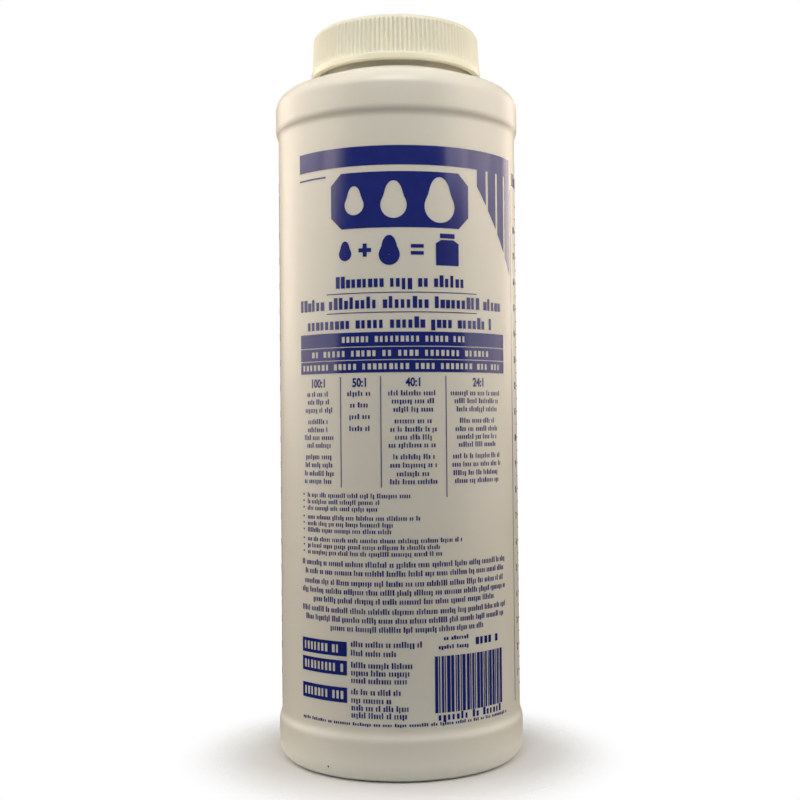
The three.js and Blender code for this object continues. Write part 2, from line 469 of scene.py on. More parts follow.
class Ink:
    """Thin printed shapes on the panel, gathered into one mesh. Each shape is a closed film."""

    def __init__(self):
        self.vertices = []
        self.faces = []

    def film(self, grid, closed):
        """A film over rows of (angle, height), the lowest row first and each from left to right.
        With closed, each row runs round to its start."""
        rows = len(grid)
        columns = len(grid[0])
        base = len(self.vertices)
        for radius in (INK_R, INK_FOOT_R):
            for row in grid:
                self.vertices += [on_panel(a, z, radius) for a, z in row]
        under = rows * columns

        def at(row, column, layer=0):
            return base + layer * under + row * columns + column % columns

        spans = columns if closed else columns - 1
        for row in range(rows - 1):
            for c in range(spans):
                self.faces.append((at(row, c), at(row, c + 1), at(row + 1, c + 1), at(row + 1, c)))
                self.faces.append((at(row + 1, c, 1), at(row + 1, c + 1, 1), at(row, c + 1, 1),
                                   at(row, c, 1)))
        top = rows - 1
        for c in range(spans):
            self.faces.append((at(0, c, 1), at(0, c + 1, 1), at(0, c + 1), at(0, c)))
            self.faces.append((at(top, c), at(top, c + 1), at(top, c + 1, 1), at(top, c, 1)))
        if not closed:
            end = columns - 1
            for row in range(rows - 1):
                self.faces.append((at(row, 0), at(row + 1, 0), at(row + 1, 0, 1), at(row, 0, 1)))
                self.faces.append((at(row, end, 1), at(row + 1, end, 1), at(row + 1, end), at(row, end)))

    def four_sided(self, low_left, low_right, high_right, high_left):
        """A shape with four corners (angle, height)."""
        span = max(low_right[0] - low_left[0], high_right[0] - high_left[0])
        steps = max(1, math.ceil(span / INK_STEP_DEG))
        grid = []
        for left, right in ((low_left, low_right), (high_left, high_right)):
            grid.append([(left[0] + (right[0] - left[0]) * i / steps,
                          left[1] + (right[1] - left[1]) * i / steps) for i in range(steps + 1)])
        self.film(grid, False)

    def bar(self, left, right, low, high):
        self.four_sided((left, low), (right, low), (right, high), (left, high))

    def ring(self, inner, outer, steps=3):
        """The area between two outlines, which have as many points each and run anticlockwise."""
        grid = []
        for k in range(steps + 1):
            share = k / steps
            grid.append([(a[0] + (b[0] - a[0]) * share, a[1] + (b[1] - a[1]) * share)
                         for a, b in zip(outer, inner)])
        self.film(grid, True)

    def solid(self, outline, centre, steps=4):
        """The area inside an outline that every spoke from its centre meets once."""
        hub = [(centre[0] + (a - centre[0]) * HUB_SHARE, centre[1] + (z - centre[1]) * HUB_SHARE)
               for a, z in outline]
        self.ring(hub, outline, steps)

    def finish(self, name, material):
        obj = new_mesh(name, self.vertices, self.faces, INK_SHARP_DEG)
        obj.data.materials.append(material)
        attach(obj, "bottle")
        return obj


def spoke_end(centre, angle, radius):
    """The point (angle, height) at the end of a spoke of that many mm on the panel."""
    return (centre[0] + radius * math.cos(angle) * DEG_PER_MM, centre[1] + radius * math.sin(angle))


def drop_radius(size, angle):
    """The outline of a drop by spokes: round below, drawn out to a point above."""
    return size * (1 + DROP_POINT * max(0.0, math.sin(angle)) ** DROP_SHARPNESS)


def drop(ink, centre, size):
    outline = [spoke_end(centre, a, drop_radius(size, a)) for a in even_angles(DROP_SIDES)]
    ink.solid(outline, centre)


def cell_round_drop(ink, left, right, low, high, centre, size):
    """A rectangle of ink with a bare drop in it."""
    corners = [math.atan2(z - centre[1], (a - centre[0]) / DEG_PER_MM) % (2 * math.pi)
               for a in (left, right) for z in (low, high)]
    inner = []
    outer = []
    for a in sorted(even_angles(DROP_SIDES) + corners):
        across = abs((right if math.cos(a) > 0 else left) - centre[0]) / DEG_PER_MM
        up = abs((high if math.sin(a) > 0 else low) - centre[1])
        reach = min(across / max(1e-9, abs(math.cos(a))), up / max(1e-9, abs(math.sin(a))))
        inner.append(spoke_end(centre, a, drop_radius(size, a)))
        outer.append(spoke_end(centre, a, reach))
    ink.ring(inner, outer)


def blocks(left, right, rng, pitch, share):
    """Spans in degrees that fill a line from left to right, in groups. A block's width is about a
    share of its pitch."""
    spans = []
    at = left
    while at + pitch * share <= right:
        for _ in range(rng.randint(*BLOCKS_IN_GROUP)):
            width = pitch * share * rng.uniform(*BLOCK_WIDTHS)
            if at + width > right:
                break
            spans.append((at, at + width))
            at += pitch
        at += pitch * GROUP_GAP
    return spans


def block_line(ink, rng, left, right, foot, height, pitch, share):
    """A line of small plain blocks that stand on a height; about one in four is taller and a few
    hang lower."""
    for a, b in blocks(left, right, rng, pitch, share):
        kind = rng.random()
        rise = TALL_RISE if kind < TALL_BELOW else 1.0
        fall = HANGING_FALL if kind > HANGING_ABOVE else 0.0
        ink.bar(a, b, foot - fall * height, foot + rise * height)


def bare_block_row(ink, rng, row, text, height, pitch):
    """A printed row (left, right, low, high) with a line of bare blocks between two angles."""
    left, right, low, high = row
    foot = (low + high - height) / 2
    ink.bar(left, right, low, foot)
    ink.bar(left, right, foot + height, high)
    edge = left
    for a, b in blocks(*text, rng, pitch, BARE_SHARE):
        ink.bar(edge, a, foot, foot + height)
        edge = b
    ink.bar(edge, right, foot, foot + height)


# Header: heights in mm above the ground, angles in degrees
HEADER_TOP = 192.2
HEADER_BOTTOM = 186.3
HEADER_RIGHT = 66.6
PIN_STRIPE = (183.6, 184.1)
PIN_STRIPE_GAP_DEG = 3
STRIPE_COUNT = 4
STRIPE_LEFT = 39.4
STRIPE_GAP_DEG = 1.6
STRIPE_CUT = (181.0, 155.0)


def print_header(material):
    """A plain band, a pin stripe, and stripes that hang from the band and are cut off aslant."""
    ink = Ink()
    ink.bar(LABEL_LEFT, HEADER_RIGHT, HEADER_BOTTOM, HEADER_TOP)
    ink.bar(LABEL_LEFT, PLATE[0] - PIN_STRIPE_GAP_DEG, *PIN_STRIPE)
    pitch = (HEADER_RIGHT - STRIPE_LEFT + STRIPE_GAP_DEG) / STRIPE_COUNT
    fall = (STRIPE_CUT[1] - STRIPE_CUT[0]) / (HEADER_RIGHT - STRIPE_LEFT)
    for k in range(STRIPE_COUNT):
        left = STRIPE_LEFT + k * pitch
        right = left + pitch - STRIPE_GAP_DEG
        ink.four_sided((left, STRIPE_CUT[0] + fall * (left - STRIPE_LEFT)),
                       (right, STRIPE_CUT[0] + fall * (right - STRIPE_LEFT)),
                       (right, HEADER_BOTTOM), (left, HEADER_BOTTOM))
    return ink.finish("print_header", material)


# Plate: left, right, low and high edge; the angle and size of each bare drop
PLATE = (-31.0, 34.0, 167.3, 184.3)
PLATE_CORNER_MM = 3.6
PLATE_DROPS = ((-19.5, 3.1), (-1.5, 4.0), (19.5, 4.9))
PLATE_DROP_SINK = 0.42


def print_plate(material):
    """A plate with cut corners and a row of three bare drops, each larger than the one before."""
    ink = Ink()
    left, right, low, high = PLATE
    cut = PLATE_CORNER_MM
    inner_left = left + cut * DEG_PER_MM
    inner_right = right - cut * DEG_PER_MM
    ink.four_sided((left, low + cut), (inner_left, low), (inner_left, high), (left, high - cut))
    ink.four_sided((inner_right, low), (right, low + cut), (right, high - cut), (inner_right, high))
    middles = [(a[0] + b[0]) / 2 for a, b in zip(PLATE_DROPS, PLATE_DROPS[1:])]
    edges = [inner_left, *middles, inner_right]
    for (angle, size), cell_left, cell_right in zip(PLATE_DROPS, edges, edges[1:]):
        centre = (angle, (low + high) / 2 - PLATE_DROP_SINK * size)
        cell_round_drop(ink, cell_left, cell_right, low, high, centre, size)
    return ink.finish("print_plate", material)


# Picture row: its heights count from its middle
PICTURE_Z = 160.6
PICTURE_DROPS = ((-24.0, -0.9, 2.1), (-3.6, -1.5, 3.2))
PLUS_ANGLE = -14.6
PLUS_HALF_DEG = 2.9
PLUS_HALF_MM = 2.0
PLUS_LINE_MM = 0.62
EQUALS_SPAN = (6.0, 11.8)
EQUALS_FEET = (-1.6, 0.5)
EQUALS_LINE_MM = 1.1
CAN_SPAN = (17.4, 28.6)
CAN_FOOT = -4.7
CAN_SHOULDER = 2.0
CAN_NECK = 3.1
CAN_NECK_INSET_DEG = 2.6
CAN_LID = (3.6, 5.0)
CAN_LID_OVERHANG_DEG = 0.6


def plus(ink, z):
    line_deg = PLUS_LINE_MM * DEG_PER_MM
    ink.bar(PLUS_ANGLE - PLUS_HALF_DEG, PLUS_ANGLE + PLUS_HALF_DEG, z - PLUS_LINE_MM, z + PLUS_LINE_MM)
    for low, high in ((PLUS_LINE_MM, PLUS_HALF_MM), (-PLUS_HALF_MM, -PLUS_LINE_MM)):
        ink.bar(PLUS_ANGLE - line_deg, PLUS_ANGLE + line_deg, z + low, z + high)


def can(ink, z):
    left, right = CAN_SPAN
    neck_left = left + CAN_NECK_INSET_DEG
    neck_right = right - CAN_NECK_INSET_DEG
    ink.bar(left, right, z + CAN_FOOT, z + CAN_SHOULDER)
    ink.four_sided((left, z + CAN_SHOULDER), (right, z + CAN_SHOULDER), (neck_right, z + CAN_NECK),
                   (neck_left, z + CAN_NECK))
    low, high = CAN_LID
    ink.bar(neck_left - CAN_LID_OVERHANG_DEG, neck_right + CAN_LID_OVERHANG_DEG, z + low, z + high)


def print_picture_row(material):
    """Plain pictures of mixing in one row: a small drop and a large drop make a filled can."""
    ink = Ink()
    for angle, rise, size in PICTURE_DROPS:
        drop(ink, (angle, PICTURE_Z + rise), size)
    plus(ink, PICTURE_Z)
    for low in EQUALS_FEET:
        ink.bar(*EQUALS_SPAN, PICTURE_Z + low, PICTURE_Z + low + EQUALS_LINE_MM)
    can(ink, PICTURE_Z)
    return ink.finish("print_picture_row", material)


# Title lines: left, right, foot, height of the blocks and pitch of the blocks
TITLE_LINES = (
    (-28.8, 33.6, 149.3, 2.6, 2.6),
    (-50.6, 55.8, 142.9, 2.6, 2.65),
    (-45.6, 50.4, 136.9, 2.5, 2.7),
)
TITLE_SHARE = 0.7
TITLE_RULES = (147.65, 141.7)
TITLE_RULE_SPAN = (-33.8, 38.4)
TITLE_RULE_HALF_MM = 0.13


def print_title_lines(material):
    ink = Ink()
    rng = random.Random(11)
    for line in TITLE_LINES:
        block_line(ink, rng, *line, TITLE_SHARE)
    for z in TITLE_RULES:
        ink.bar(*TITLE_RULE_SPAN, z - TITLE_RULE_HALF_MM, z + TITLE_RULE_HALF_MM)
    return ink.finish("print_title_lines", material)


# Title box: the edges of its rows, and the left, right and pitch of each row's blocks
BOX_EDGES = (135.75, 131.5, 127.5, 123.55)
BOX_LINE_MM = 0.3
BOX_TEXTS = ((-26.0, 31.5, 2.3), (-43.0, 48.5, 2.5), (-49.2, 55.5, 2.43))
BOX_TEXT_MM = 1.85


def print_title_box(material):
    """Three printed rows with a thin bare line between them and bare blocks along each."""
    ink = Ink()
    rng = random.Random(5)
    for k, (left, right, pitch) in enumerate(BOX_TEXTS):
        high = BOX_EDGES[k] - (BOX_LINE_MM if k else 0)
        row = (LABEL_LEFT, LABEL_RIGHT, BOX_EDGES[k + 1], high)
        bare_block_row(ink, rng, row, (left, right), BOX_TEXT_MM, pitch)
    return ink.finish("print_title_box", material)


# Columns: the angle and low end of each rule, and the middle, half width and pitch of each column
COLUMN_RULES = ((-26.8, 88.8), (-7.9, 88.8), (21.6, 85.7))
COLUMN_RULE_TOP = 122.4
COLUMN_RULE_HALF_DEG = 0.2
COLUMNS = ((-39.4, 9.2, 1.16), (6.9, 11.6, 1.16), (39.3, 15.6, 1.16))
COLUMN_ROWS = (116.5, 114.1, 111.6, 108.1, 105.6, 103.2, 100.8, 97.3, 94.8, 92.2, 89.8)
SHORT_COLUMN = (-17.4, 6.2, 1.3)
SHORT_COLUMN_ROWS = (116.5, 113.0, 109.5, 105.9)
COLUMN_LINE_REACH = (0.68, 1.0)
COLUMN_TEXT_MM = 1.15
COLUMN_SHARE = 0.54


def print_columns(material):
    """Thin rules, and short lines of blocks in four columns."""
    ink = Ink()
    rng = random.Random(23)
    for angle, low in COLUMN_RULES:
        ink.bar(angle - COLUMN_RULE_HALF_DEG, angle + COLUMN_RULE_HALF_DEG, low, COLUMN_RULE_TOP)
    for (middle, half, pitch), rows in ((SHORT_COLUMN, SHORT_COLUMN_ROWS),
                                        *((column, COLUMN_ROWS) for column in COLUMNS)):
        for foot in rows:
            reach = half * rng.uniform(*COLUMN_LINE_REACH)
            block_line(ink, rng, middle - reach, middle + reach, foot, COLUMN_TEXT_MM, pitch,
                       COLUMN_SHARE)
    return ink.finish("print_columns", material)


# Notes: the right ends of nine lines in threes; then the spans of eight lines across the panel.
# Text gives the height, pitch and share of a line's blocks.
NOTE_LEFT = -46.6
NOTE_TOP = 85.6
NOTE_STEP_MM = 2.0
NOTE_GROUP_GAP_MM = 0.75
NOTE_RIGHTS = ((4.9, -9.0, -9.0), (9.3, -3.0, -3.0), (29.7, 19.0, 19.0))
NOTE_TEXT = (1.05, 1.03, 0.54)
NOTE_DOT_DEG = (3.2, 2.4)
NOTE_DOT_MM = (0.6, 1.1)
GUIDE_TOP = 64.8
GUIDE_STEP_MM = 2.68
GUIDE_GROUP_GAP_MM = 0.35
GUIDE_SPANS = (((-50.6, 57.6), (-48.4, 56.2)),
               ((-48.8, 56.2), (-50.6, 57.6), (-43.0, 49.2)),
               ((-50.6, 57.6), (-48.2, 56.0), (-33.0, 41.0)))
GUIDE_TEXT = (1.25, 1.1, 0.56)
FINE_LINE_FOOT = 17.2
FINE_LINE_RIGHT = 57.4
FINE_TEXT = (0.72, 1.1, 0.6)


def print_notes(material):
    """Nine short lines with a dot before each, then eight lines across, and a fine one at the foot."""
    ink = Ink()
    rng = random.Random(31)
    foot = NOTE_TOP
    for rights in NOTE_RIGHTS:
        for right in rights:
            block_line(ink, rng, NOTE_LEFT, right, foot, *NOTE_TEXT)
            ink.bar(NOTE_LEFT - NOTE_DOT_DEG[0], NOTE_LEFT - NOTE_DOT_DEG[1],
                    foot + NOTE_DOT_MM[0], foot + NOTE_DOT_MM[1])
            foot -= NOTE_STEP_MM
        foot -= NOTE_GROUP_GAP_MM
    foot = GUIDE_TOP
    for spans in GUIDE_SPANS:
        for left, right in spans:
            block_line(ink, rng, left, right, foot, *GUIDE_TEXT)
            foot -= GUIDE_STEP_MM
        foot -= GUIDE_GROUP_GAP_MM
    block_line(ink, rng, LABEL_LEFT, FINE_LINE_RIGHT, FINE_LINE_FOOT, *FINE_TEXT)
    return ink.finish("print_notes", material)


# Low boxes at the left and the foot and right end of each line beside them; then the lines over the
# bar block at the right: left, right, foot, and the height, pitch and share of the blocks
LOW_BOXES = ((37.7, 42.1), (32.0, 36.4), (23.75, 28.3))
LOW_BOX_SPAN = (-51.1, -24.7)
LOW_BOX_TEXT_SPAN = (-49.6, -25.8)
LOW_BOX_TEXT = (2.5, 2.2)
LOW_LINES = ((40.8, 9.5), (38.1, -2.0), (34.5, 5.0), (32.2, 4.0), (29.9, 3.0),
             (26.5, 0.5), (24.0, -3.5), (21.7, 4.0), (19.5, 3.0))
LOW_LINE_LEFT = -22.6
LOW_TEXT = (1.3, 1.19, 0.56)
LINES_OVER_BARS = (
    (19.5, 33.0, 42.6, 0.9, 1.3, 0.64),
    (17.0, 33.0, 40.0, 0.9, 1.3, 0.64),
    (36.0, 52.0, 40.4, 2.2, 2.6, 0.7),
)


def print_low_boxes(material):
    ink = Ink()
    rng = random.Random(47)
    for low, high in LOW_BOXES:
        bare_block_row(ink, rng, (*LOW_BOX_SPAN, low, high), LOW_BOX_TEXT_SPAN, *LOW_BOX_TEXT)
    for foot, right in LOW_LINES:
        block_line(ink, rng, LOW_LINE_LEFT, right, foot, *LOW_TEXT)
    for line in LINES_OVER_BARS:
        block_line(ink, rng, *line)
    return ink.finish("print_low_boxes", material)


# Bar block: left, right, low and high edge; widths and gaps in degrees; the line of blocks below
BAR_BLOCK = (15.2, 54.8, 20.9, 37.9)
BAR_WIDTHS = (1.4, 0.55, 1.0, 0.5, 1.6)
BAR_GAPS = (0.45, 0.75, 0.4, 0.6)
BAR_LINE = (16.7, 53.8, 18.6, 1.6, 2.2, 0.55)


def print_bar_block(material):
    """A block of upright bars whose widths and gaps come round again and again, on a line of blocks."""
    ink = Ink()
    left, right, low, high = BAR_BLOCK
    at = left
    k = 0
    while at + BAR_WIDTHS[k % len(BAR_WIDTHS)] <= right:
        width = BAR_WIDTHS[k % len(BAR_WIDTHS)]
        ink.bar(at, at + width, low, high)
        at += width + BAR_GAPS[k % len(BAR_GAPS)]
        k += 1
    block_line(ink, random.Random(71), *BAR_LINE)
    return ink.finish("print_bar_block", material)


# Numbers: the width of their figures as a share of the font's, and how much their strokes are swollen
NUMBER_WIDTH = 0.8
NUMBER_WEIGHT = 0.03
NUMBER_CURVE_STEPS = 4
NUMBER_THICKNESS = 0.01
WELD_DISTANCE = 1e-5


def flat_numbers(text):
    """A mesh of plain numbers, centred, as the font draws them."""
    curve = bpy.data.curves.new("numerals", "FONT")
    curve.body = text
    curve.align_x = "CENTER"
    curve.offset = NUMBER_WEIGHT
    curve.extrude = NUMBER_THICKNESS
    curve.resolution_u = NUMBER_CURVE_STEPS
    flat = new_object("numerals", curve)
    bpy.context.view_layer.update()
    mesh = bpy.data.meshes.new_from_object(flat.evaluated_get(bpy.context.evaluated_depsgraph_get()))
    bpy.data.objects.remove(flat)
    bpy.data.curves.remove(curve)
    bm = bmesh.new()
    bm.from_mesh(mesh)
    bpy.data.meshes.remove(mesh)
    bmesh.ops.remove_doubles(bm, verts=bm.verts, dist=WELD_DISTANCE)
    return bm


def numerals(text, angle, z, height):
    """Plain numbers as thin closed films on the panel, centred on an angle, standing on a height."""
    bm = flat_numbers(text)
    scale = height / max(v.co.y for v in bm.verts)
    half = max(abs(v.co.x) for v in bm.verts)
    strip = INK_STEP_DEG / DEG_PER_MM / scale / NUMBER_WIDTH
    for k in range(-math.ceil(half / strip), math.ceil(half / strip) + 1):
        bmesh.ops.bisect_plane(bm, geom=bm.verts[:] + bm.edges[:] + bm.faces[:],
                               plane_co=(k * strip, 0, 0), plane_no=(1, 0, 0))
    for v in bm.verts:
        radius = INK_R if v.co.z > 0 else INK_FOOT_R
        v.co = on_panel(angle + v.co.x * scale * NUMBER_WIDTH * DEG_PER_MM, z + v.co.y * scale, radius)
    return bm


def joined(name, parts, material):
    whole = bmesh.new()
    for bm in parts:
        piece = bpy.data.meshes.new("part")
        bm.to_mesh(piece)
        bm.free()
        whole.from_mesh(piece)
        bpy.data.meshes.remove(piece)
    mesh = bpy.data.meshes.new(name)
    whole.to_mesh(mesh)
    whole.free()
    obj = new_object(name, mesh)
    obj.data.materials.append(material)
    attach(obj, "bottle")
    return obj


# Ratios over the columns, each with its angle
RATIOS = (("100:1", -39.2), ("50:1", -17.4), ("40:1", 6.8), ("24:1", 39.3))
RATIO_FOOT = 119.35
RATIO_MM = 2.6


def print_ratios(material):
    parts = [numerals(text, angle, RATIO_FOOT, RATIO_MM) for text, angle in RATIOS]
    return joined("print_ratios", parts, material)


# Scales at the two sides: a line, then numbers, then ticks. Both run away from the front. The head
# is a line of blocks above: its span from the line, its foot, and its height, pitch and share.
SCALE_LOW = 19.3
SCALE_HIGH = 183.0
SCALE_STEP_MM = 8.4
SCALE_LINES = ((1, 68.6), (-1, 79.6))
SCALE_LINE_HALF_DEG = 0.22
SCALE_NUMBER_MM = 2.1
NUMBER_FROM_LINE = 5.6
TICK_FROM_LINE = 10.8
TICK_LONG_DEG = 4.4
TICK_SHORT_DEG = 2.4
TICK_HALF_MM = 0.2
SCALE_HEAD_SPAN = (2.6, 30)
SCALE_HEAD_TEXT = (184.6, 3.0, 3.2, 0.7)


def side_span(side, near, far):
    """A span by its distances from the front, on the right with side 1 and on the left with -1."""
    return (near, far) if side > 0 else (-far, -near)


def scale_marks(ink, side, line):
    """The ticks of one scale. Returns the numbers that stand beside every other one."""
    numbers = []
    count = int((SCALE_HIGH - SCALE_LOW) / SCALE_STEP_MM)
    tick = line + TICK_FROM_LINE
    for k in range(1, 2 * count + 1):
        z = SCALE_LOW + k * SCALE_STEP_MM / 2
        length = TICK_SHORT_DEG if k % 2 else TICK_LONG_DEG
        ink.bar(*side_span(side, tick, tick + length), z - TICK_HALF_MM, z + TICK_HALF_MM)
        if k % 2 == 0 and k < 2 * count:
            foot = z - SCALE_NUMBER_MM / 2
            angle = side * (line + NUMBER_FROM_LINE)
            numbers.append(numerals(str(k // 2), angle, foot, SCALE_NUMBER_MM))
    return numbers


def print_scales(material):
    """On each side an upright line with evenly stepped numbers and ticks, and a bold line above."""
    ink = Ink()
    rng = random.Random(67)
    numbers = []
    for side, line in SCALE_LINES:
        edges = side_span(side, line - SCALE_LINE_HALF_DEG, line + SCALE_LINE_HALF_DEG)
        ink.bar(*edges, SCALE_LOW, SCALE_HIGH)
        numbers += scale_marks(ink, side, line)
        near, far = SCALE_HEAD_SPAN
        block_line(ink, rng, *side_span(side, line + near, line + far), *SCALE_HEAD_TEXT)
    return [ink.finish("print_scales", material), joined("print_scale_numbers", numbers, material)]


# Speck: its place, its half width, height and depth, how far it faces down, and its uneven edge
SPECK_ANGLE = -34.2
SPECK_Z = 4.0
SPECK_HALF_MM = (0.28, 0.42, 0.05)
SPECK_TILT = -0.35
SPECK_WOBBLE = 0.18
SPECK_WAVES = (5, 3)


def make_speck(material):
    """The tiny dark speck on the bottle's lower corner."""
    share = (CORNER_RISE_MM - SPECK_Z) / CORNER_RISE_MM
    radius = BUMPER_R - CORNER_RUN_MM * (1 - math.sqrt(1 - share * share))
    a = math.radians(SPECK_ANGLE)
    centre = Vector((radius * math.sin(a), -radius * math.cos(a), SPECK_Z))
    turn = Vector((math.sin(a), -math.cos(a), SPECK_TILT)).to_track_quat("Z", "Y").to_matrix()
    width, height, depth = SPECK_HALF_MM
    waves_x, waves_y = SPECK_WAVES
    bm = bmesh.new()
    bmesh.ops.create_icosphere(bm, subdivisions=2, radius=1.0)
    for v in bm.verts:
        wobble = 1 + SPECK_WOBBLE * math.sin(waves_x * v.co.x + waves_y * v.co.y)
        local = Vector((v.co.x * width, v.co.y * height * wobble, v.co.z * depth))
        v.co = (turn @ local + centre) * MM
    return joined("speck", [bm], material)


def set_inputs(node, **values):
    for key, value in values.items():
        node.inputs[key.replace("_", " ")].default_value = value


def new_node(tree, kind, **values):
    node = tree.nodes.new(kind)
    set_inputs(node, **values)
    return node


def new_material(name, **values):
    """A material whose shader has those inputs."""
    material = bpy.data.materials.new(name)
    material.use_nodes = True
    set_inputs(material.node_tree.nodes["Principled BSDF"], **values)
    return material


def noise(tree, scale, stretch=(1, 1, 1), detail=3.0):
    """A noise texture in the object's own metres, stretched along its axes."""
    place = new_node(tree, "ShaderNodeTexCoord")
    mapping = new_node(tree, "ShaderNodeMapping", Scale=stretch)
    texture = new_node(tree, "ShaderNodeTexNoise", Scale=scale, Detail=detail)
    tree.links.new(place.outputs["Object"], mapping.inputs["Vector"])
    tree.links.new(mapping.outputs["Vector"], texture.inputs["Vector"])
    return texture.outputs["Fac"]


def colour(tree, pattern, stops):
    """Takes the shader's colour from a pattern, between two stops (position, colour)."""
    ramp = tree.nodes.new("ShaderNodeValToRGB")
    for element, (at, shade) in zip(ramp.color_ramp.elements, stops):
        element.position = at
        element.color = (*shade, 1)
    tree.links.new(pattern, ramp.inputs["Fac"])
    tree.links.new(ramp.outputs["Color"], tree.nodes["Principled BSDF"].inputs["Base Color"])


def roughness(tree, pattern, low, high):
    """Takes the shader's roughness from a pattern."""
    spread = new_node(tree, "ShaderNodeMapRange", To_Min=low, To_Max=high)
    tree.links.new(pattern, spread.inputs["Value"])
    tree.links.new(spread.outputs["Result"], tree.nodes["Principled BSDF"].inputs["Roughness"])


def relief(tree, pattern, distance, strength, under=None):
    """Gives the shader small bumps from a pattern, on top of the relief under them."""
    bump = new_node(tree, "ShaderNodeBump", Distance=distance, Strength=strength)
    tree.links.new(pattern, bump.inputs["Height"])
    if under is not None:
        tree.links.new(under, bump.inputs["Normal"])
    tree.links.new(bump.outputs["Normal"], tree.nodes["Principled BSDF"].inputs["Normal"])
    return bump.outputs["Normal"]


BOTTLE_TINTS = ((0.3, (0.82, 0.79, 0.69)), (0.75, (0.85, 0.82, 0.725)))
CAP_TINTS = ((0.3, (0.77, 0.765, 0.64)), (0.75, (0.80, 0.795, 0.675)))
FOAM_COLOUR = (0.88, 0.87, 0.83, 1)
INK_TINTS = ((0.25, (0.011, 0.020, 0.180)), (0.8, (0.017, 0.029, 0.230)))
SPECK_TINTS = ((0.3, (0.012, 0.010, 0.008)), (0.8, (0.035, 0.028, 0.020)))


def bottle_plastic():
    """Milky polyethylene: light soaks through the thin wall, faint waves and streaks of the mould."""
    material = new_material("milky_polyethylene", IOR=1.54, Subsurface_Weight=0.5,
                            Subsurface_Scale=0.0035, Subsurface_Radius=(1.0, 0.82, 0.6))
    tree = material.node_tree
    streaks = noise(tree, scale=420.0, stretch=(1, 1, 0.04), detail=2.0)
    waves = noise(tree, scale=70.0, stretch=(1, 1, 0.35), detail=2.0)
    colour(tree, noise(tree, scale=26.0, detail=2.0), BOTTLE_TINTS)
    roughness(tree, streaks, low=0.30, high=0.44)
    soft = relief(tree, waves, distance=0.0004, strength=0.25)
    relief(tree, noise(tree, scale=1500.0), distance=0.00003, strength=0.4, under=soft)
    return material


def cap_plastic():
    """Opaque white polypropylene with a satin face and faint flow marks."""
    material = new_material("white_polypropylene", IOR=1.5, Subsurface_Weight=0.4,
                            Subsurface_Scale=0.002, Subsurface_Radius=(1.0, 0.85, 0.65))
    tree = material.node_tree
    colour(tree, noise(tree, scale=60.0, detail=2.0), CAP_TINTS)
    roughness(tree, noise(tree, scale=300.0), low=0.28, high=0.42)
    relief(tree, noise(tree, scale=1800.0), distance=0.00002, strength=0.4)
    return material


def liner_foam():
    material = new_material("sealing_foam", IOR=1.45, Base_Color=FOAM_COLOUR)
    tree = material.node_tree
    cells = noise(tree, scale=2600.0)
    roughness(tree, cells, low=0.7, high=0.95)
    relief(tree, cells, distance=0.0001, strength=0.6)
    return material


def blue_ink():
    """Glossy screen-print ink: dark blue, a little uneven in depth, with a faint mesh grain."""
    material = new_material("blue_ink", IOR=1.52)
    tree = material.node_tree
    colour(tree, noise(tree, scale=180.0, detail=4.0), INK_TINTS)
    roughness(tree, noise(tree, scale=500.0), low=0.14, high=0.24)
    relief(tree, noise(tree, scale=3500.0), distance=0.00001, strength=0.3)
    return material


def dark_speck():
    material = new_material("dark_speck", Roughness=0.7)
    tree = material.node_tree
    colour(tree, noise(tree, scale=4000.0), SPECK_TINTS)
    return material


# Camera, as fitted to the photograph
CAMERA_DISTANCE = 0.4106
CAMERA_HEIGHT = 0.1080
CAMERA_UP_DEG = 1.1
CAMERA_ROLL_DEG = 0.5
CAMERA_YAW_DEG = 0.066
CAMERA_LENS_MM = 55.58
CAMERA_SENSOR_MM = 36.0
CAMERA_CLIP_START = 0.01


def make_camera():
    data = bpy.data.cameras.new("camera")
    data.lens = CAMERA_LENS_MM
    data.sensor_width = CAMERA_SENSOR_MM
    data.clip_start = CAMERA_CLIP_START
    camera = new_object("camera", data)
    turn = (Matrix.Rotation(math.radians(-CAMERA_YAW_DEG), 3, "Z")
            @ Matrix.Rotation(math.radians(90 + CAMERA_UP_DEG), 3, "X")
            @ Matrix.Rotation(math.radians(-CAMERA_ROLL_DEG), 3, "Z"))
    camera.matrix_world = Matrix.Translation((0, -CAMERA_DISTANCE, CAMERA_HEIGHT)) @ turn.to_4x4()
    bpy.context.scene.camera = camera


# Lights: name, azimuth in degrees with 0 behind the camera, distance from the axis, height of the
# middle, width, height, radiance and colour; lengths in metres
WARM = (1.0, 0.86, 0.72)
PALE = (1.0, 0.97, 0.93)
SOFTBOXES = (
    ("left_wall", -88, 0.90, 0.29, 1.05, 0.44, 2.0, WARM),
    ("left_rim", -128, 0.90, 0.36, 0.40, 0.44, 3.4, WARM),
    ("left_near", -100, 0.42, 0.42, 0.40, 0.30, 1.4, WARM),
    ("left_front", -60, 0.42, 0.40, 0.18, 0.30, 2.0, WARM),
    ("left_high", -60, 0.30, 0.52, 0.20, 0.20, 2.0, WARM),
    ("right_key", 57, 0.42, 0.40, 0.20, 0.30, 3.5, WARM),
    ("right_near", 85, 0.42, 0.40, 0.22, 0.30, 1.6, WARM),
    ("right_wall", 91, 0.90, 0.29, 0.90, 0.44, 1.9, WARM),
    ("right_rim", 134, 0.90, 0.36, 0.40, 0.44, 3.3, WARM),
    ("front_high", 0, 0.42, 0.62, 0.34, 0.20, 9.2, PALE),
)
AIM_HEIGHT = 0.13


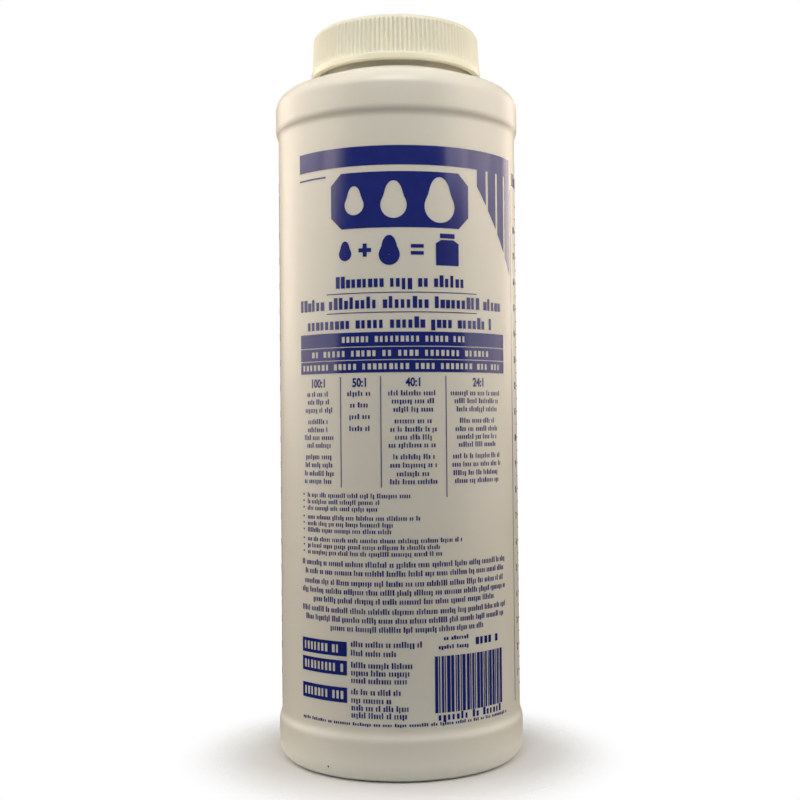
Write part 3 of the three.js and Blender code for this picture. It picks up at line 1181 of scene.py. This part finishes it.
def softbox(name, azimuth_deg, distance, z, width, height, radiance, colour_rgb):
    """A rectangular light round the bottle that faces its axis."""
    a = math.radians(azimuth_deg)
    data = bpy.data.lights.new(name, "AREA")
    data.shape = "RECTANGLE"
    data.size = width
    data.size_y = height
    data.energy = radiance * math.pi * width * height
    data.color = colour_rgb
    light = new_object(name, data)
    light.location = (distance * math.sin(a), -distance * math.cos(a), z)
    aim = Vector((0, 0, AIM_HEIGHT)) - light.location
    light.rotation_euler = aim.to_track_quat("-Z", "Y").to_euler()


def make_lights():
    """Wide softboxes at both sides, near ones above them, and one high in front; the front is dark."""
    for box in SOFTBOXES:
        softbox(*box)


# World: the fill fades in with the height of its direction, from a little below the horizon
FILL_STRENGTH = 0.12
FILL_COLOUR = (0.80, 0.90, 1.0, 1)
FILL_FROM = -0.1
FILL_FULL = 0.25


def make_world():
    """White behind the bottle; a soft fill on it that comes from above the floor only."""
    world = bpy.data.worlds.new("studio")
    world.use_nodes = True
    tree = world.node_tree
    link = tree.links.new
    seen = tree.nodes["Background"]
    set_inputs(seen, Color=(1, 1, 1, 1), Strength=1.0)
    fill = new_node(tree, "ShaderNodeBackground", Color=FILL_COLOUR)
    direction = new_node(tree, "ShaderNodeTexCoord")
    parts = new_node(tree, "ShaderNodeSeparateXYZ")
    above = new_node(tree, "ShaderNodeMapRange", From_Min=FILL_FROM, From_Max=FILL_FULL,
                     To_Max=FILL_STRENGTH)
    path = new_node(tree, "ShaderNodeLightPath")
    mix = new_node(tree, "ShaderNodeMixShader")
    link(direction.outputs["Generated"], parts.inputs[0])
    link(parts.outputs["Z"], above.inputs["Value"])
    link(above.outputs["Result"], fill.inputs["Strength"])
    link(path.outputs["Is Camera Ray"], mix.inputs[0])
    link(fill.outputs[0], mix.inputs[1])
    link(seen.outputs[0], mix.inputs[2])
    link(mix.outputs[0], tree.nodes["World Output"].inputs["Surface"])
    bpy.context.scene.world = world


# Floor: it fades out between two distances from the bottle's axis, in metres
FLOOR_SIZE = 6.0
FLOOR_COLOUR = (0.62, 0.65, 0.67, 1)
FLOOR_ROUGHNESS = 0.85
FLOOR_FADE_NEAR = 0.038
FLOOR_FADE_FAR = 0.075


def pale_floor():
    material = new_material("pale_floor", Roughness=FLOOR_ROUGHNESS, Base_Color=FLOOR_COLOUR)
    tree = material.node_tree
    link = tree.links.new
    place = new_node(tree, "ShaderNodeTexCoord")
    length = new_node(tree, "ShaderNodeVectorMath")
    length.operation = "LENGTH"
    fade = new_node(tree, "ShaderNodeMapRange", From_Min=FLOOR_FADE_NEAR, From_Max=FLOOR_FADE_FAR)
    fade.interpolation_type = "SMOOTHSTEP"
    clear = new_node(tree, "ShaderNodeBsdfTransparent")
    mix = new_node(tree, "ShaderNodeMixShader")
    link(place.outputs["Object"], length.inputs[0])
    link(length.outputs["Value"], fade.inputs["Value"])
    link(fade.outputs["Result"], mix.inputs[0])
    link(tree.nodes["Principled BSDF"].outputs[0], mix.inputs[1])
    link(clear.outputs[0], mix.inputs[2])
    link(mix.outputs[0], tree.nodes["Material Output"].inputs["Surface"])
    return material


def make_floor():
    """A plain pale floor that fades into the white behind it."""
    half = FLOOR_SIZE / 2
    mesh = bpy.data.meshes.new("floor")
    mesh.from_pydata([(-half, -half, 0), (half, -half, 0), (half, half, 0), (-half, half, 0)], [],
                     [(0, 1, 2, 3)])
    floor = new_object("floor", mesh)
    floor.data.materials.append(pale_floor())


def main():
    bpy.context.scene.view_settings.view_transform = "Standard"
    make_camera()
    make_bottle().data.materials.append(bottle_plastic())
    make_cap().data.materials.append(cap_plastic())
    make_liner().data.materials.append(liner_foam())
    ink = blue_ink()
    for make in (print_header, print_plate, print_picture_row, print_title_lines, print_title_box,
                 print_columns, print_ratios, print_notes, print_low_boxes, print_bar_block,
                 print_scales):
        make(ink)
    make_speck(dark_speck())
    make_floor()
    make_lights()
    make_world()


main()
